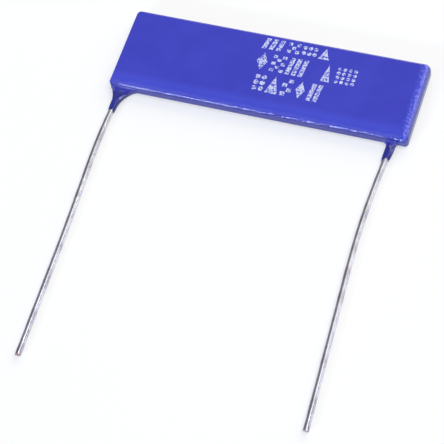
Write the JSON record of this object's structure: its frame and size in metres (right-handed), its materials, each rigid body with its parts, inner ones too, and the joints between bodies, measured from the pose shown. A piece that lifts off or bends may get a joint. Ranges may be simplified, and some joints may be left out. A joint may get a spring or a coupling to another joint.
{
  "type": "thick film resistor",
  "caption": "Flat blue epoxy-coated thick film resistor with two long parallel tinned wire leads leaving one edge.",
  "frame": {"origin": "centre of the coated body's flat back face", "axes": "+X along the body, from the left lead to the right lead as the marked face is read; +Y away from the leads, which leave towards -Y; +Z out of the marked front face"},
  "size_m": [0.0418, 0.0543, 0.002],
  "materials": {
    "epoxy_blue": "gloss",
    "alumina": "matte",
    "silver_film": "satin",
    "resistor_film": "matte",
    "overglaze": "gloss",
    "tinned_copper": "satin",
    "solder": "satin",
    "white_ink": "matte"
  },
  "bodies": {
    "root": {"ceramic_substrate": "alumina", "left_termination_pad": "silver_film", "right_termination_pad": "silver_film", "resistive_track": "resistor_film", "glass_overglaze": "overglaze", "left_lead_wire": "tinned_copper", "right_lead_wire": "tinned_copper", "left_solder_joint": "solder", "right_solder_joint": "solder", "epoxy_coating": "epoxy_blue", "marking_ink": "white_ink"}
  },
  "joints": []
}
